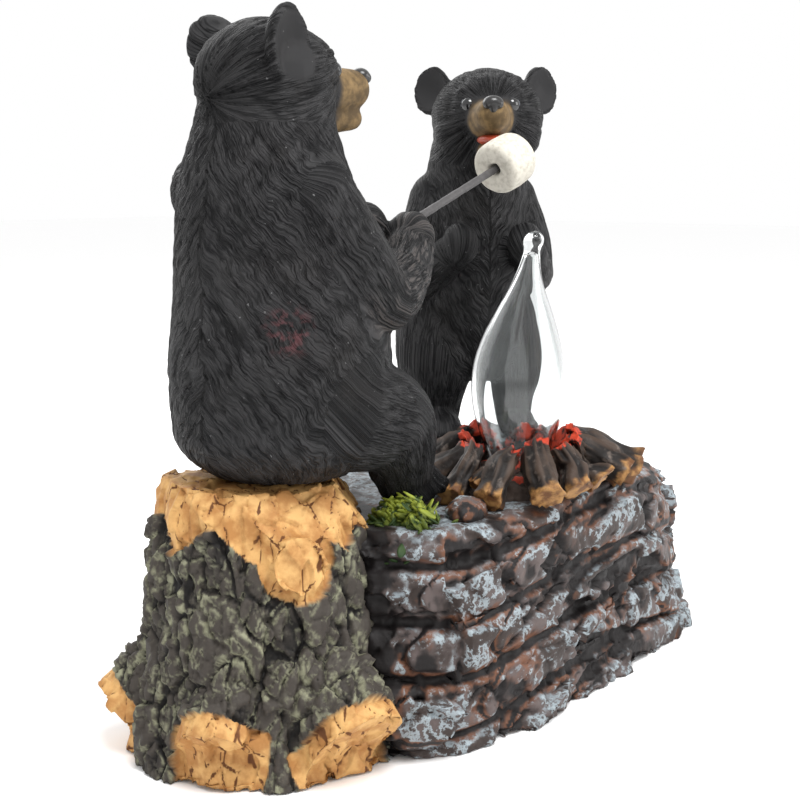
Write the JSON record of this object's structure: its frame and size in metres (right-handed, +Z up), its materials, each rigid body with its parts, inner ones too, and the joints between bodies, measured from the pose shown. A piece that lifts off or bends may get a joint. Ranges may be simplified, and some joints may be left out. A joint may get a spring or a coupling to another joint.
{
  "type": "bear figurine",
  "caption": "Cast figurine of bear cubs toasting a marshmallow at a campfire, on a chopped stump and a rock ledge, with a hollow clear glass flame standing among the logs.",
  "frame": {"origin": "on the table, under the middle of the whole figurine's outline", "axes": "+X along the base from the stump to the ledge cub, +Y to the back, +Z up; the campfire is at the front, -Y"},
  "size_m": [0.217, 0.1002, 0.1887],
  "materials": {
    "rock_resin": "painted cast resin: stump, rock, logs and moss",
    "black_resin": "matte black painted resin with carved fur",
    "black_resin_ledge": "matte black painted resin with carved fur",
    "stick_paint": "dark painted rod",
    "marshmallow_paint": "chalky off-white paint",
    "clear_glass": "clear, glossy, blown thin"
  },
  "bodies": {
    "root": {"base": "rock_resin", "stump_cub": "black_resin", "ledge_cub": "black_resin_ledge", "roasting_stick": "stick_paint", "marshmallow": "marshmallow_paint", "glass_flame": "clear_glass"}
  },
  "joints": []
}
